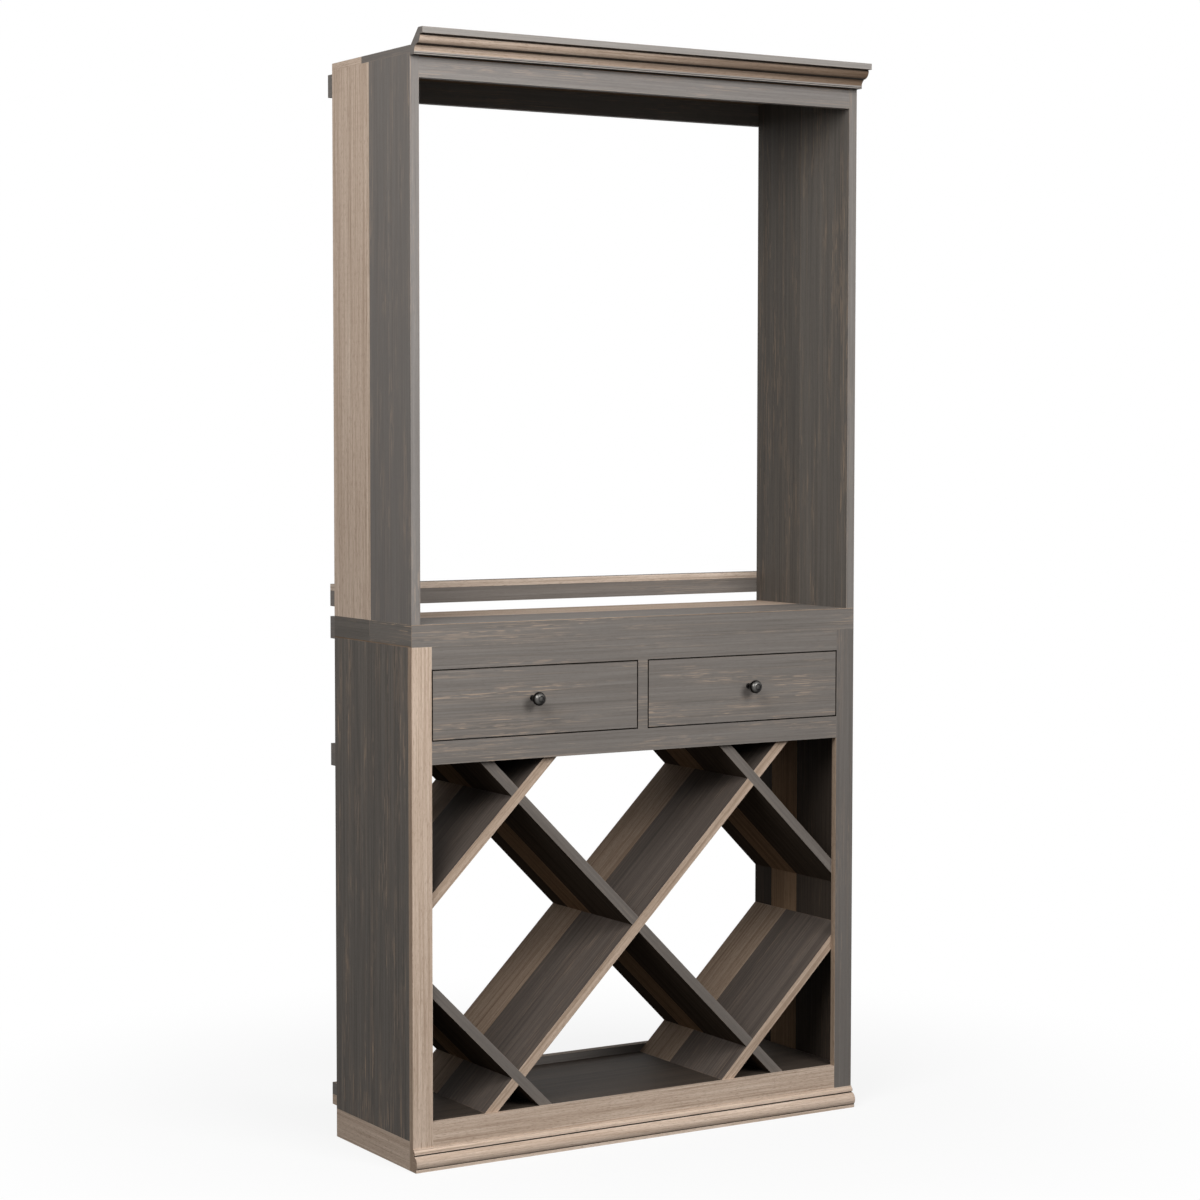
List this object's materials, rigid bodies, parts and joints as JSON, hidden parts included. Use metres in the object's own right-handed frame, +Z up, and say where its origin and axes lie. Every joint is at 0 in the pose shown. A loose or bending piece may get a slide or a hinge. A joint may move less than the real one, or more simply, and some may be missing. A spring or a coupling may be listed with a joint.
{
  "type": "bar cabinet",
  "caption": "Tall free-standing cabinet in grey and beige wood: an open hutch over a counter, a row of drawers with round knobs, and a diagonal bottle lattice.",
  "frame": {"origin": "on the floor under the middle of the whole cabinet, crown moulding and rear rails included", "axes": "+Z up, -Y out of the front, +X to the right seen from the front"},
  "size_m": [1.111, 0.425, 2.319],
  "materials": {
    "grey_wood": "satin stained oak, grey, with rubbed pale streaks",
    "dark_grey_wood": "satin stained oak, dark grey",
    "beige_wood": "satin stained oak, warm beige",
    "plain_wood": "plain sawn hardwood, unstained",
    "drawer_wood": "clear lacquered hardwood",
    "knob_metal": "dark oil-rubbed bronze, satin",
    "bright_steel": "zinc plated steel",
    "dark_steel": "dark phosphated steel screws"
  },
  "bodies": {
    "cabinet": {"hutch_side_left_front": "dark_grey_wood", "hutch_side_left_rear": "beige_wood", "hutch_side_right_front": "dark_grey_wood", "hutch_side_right_rear": "beige_wood", "hutch_top_front": "dark_grey_wood", "hutch_top_rear": "beige_wood", "hutch_front_rail": "grey_wood", "crown_moulding": "beige_wood", "crown_blocks": "plain_wood", "rear_rail_top": "grey_wood", "rear_rail_gallery": "grey_wood", "rear_rail_counter": "grey_wood", "rear_rail_deck": "grey_wood", "rear_rail_foot": "beige_wood", "rear_rail_screws": "dark_steel", "counter_front": "grey_wood", "counter_rear": "beige_wood", "corner_dowels": "plain_wood", "base_side_left": "dark_grey_wood", "base_side_right": "dark_grey_wood", "plinth_left": "beige_wood", "plinth_right": "beige_wood", "stile_left": "beige_wood", "stile_right": "grey_wood", "top_rail": "grey_wood", "middle_rail": "grey_wood", "bottom_rail": "beige_wood", "mullion": "grey_wood", "base_moulding": "beige_wood", "bottom_deck": "dark_grey_wood", "drawer_deck": "dark_grey_wood", "drawer_divider": "plain_wood", "lattice_rising_long": "beige_wood", "lattice_rising_upper": "beige_wood", "lattice_rising_lower": "beige_wood", "lattice_falling_long": "grey_wood", "lattice_falling_upper": "grey_wood", "lattice_falling_lower": "grey_wood", "slide_packing_left": "plain_wood", "slide_packing_right": "plain_wood", "left_slide_cabinet": "bright_steel", "right_slide_cabinet": "bright_steel"},
    "left_drawer": {"left_drawer_front": "grey_wood", "left_drawer_outer_side": "drawer_wood", "left_drawer_inner_side": "drawer_wood", "left_drawer_back": "drawer_wood", "left_drawer_bottom": "drawer_wood", "left_drawer_knob": "knob_metal", "left_drawer_knob_screw": "bright_steel", "left_slide_drawer": "bright_steel"},
    "right_drawer": {"right_drawer_front": "grey_wood", "right_drawer_outer_side": "drawer_wood", "right_drawer_inner_side": "drawer_wood", "right_drawer_back": "drawer_wood", "right_drawer_bottom": "drawer_wood", "right_drawer_knob": "knob_metal", "right_drawer_knob_screw": "bright_steel", "right_slide_drawer": "bright_steel"},
    "left_slide": {"left_slide_middle": "bright_steel"},
    "right_slide": {"right_slide_middle": "bright_steel"}
  },
  "joints": [
    {"name": "left_drawer_slide", "type": "slide", "parent": "cabinet", "child": "left_drawer", "axis": [0, -1, 0], "range_m": [0, 0.28]},
    {"name": "right_drawer_slide", "type": "slide", "parent": "cabinet", "child": "right_drawer", "axis": [0, -1, 0], "range_m": [0, 0.28]},
    {"name": "left_slide_run", "type": "slide", "parent": "cabinet", "child": "left_slide", "axis": [0, -1, 0], "range_m": [0, 0.14]},
    {"name": "right_slide_run", "type": "slide", "parent": "cabinet", "child": "right_slide", "axis": [0, -1, 0], "range_m": [0, 0.14]}
  ],
  "couplings": [
    {"joint": "left_slide_run", "follows": "left_drawer_slide", "ratio": 0.5},
    {"joint": "right_slide_run", "follows": "right_drawer_slide", "ratio": 0.5}
  ]
}
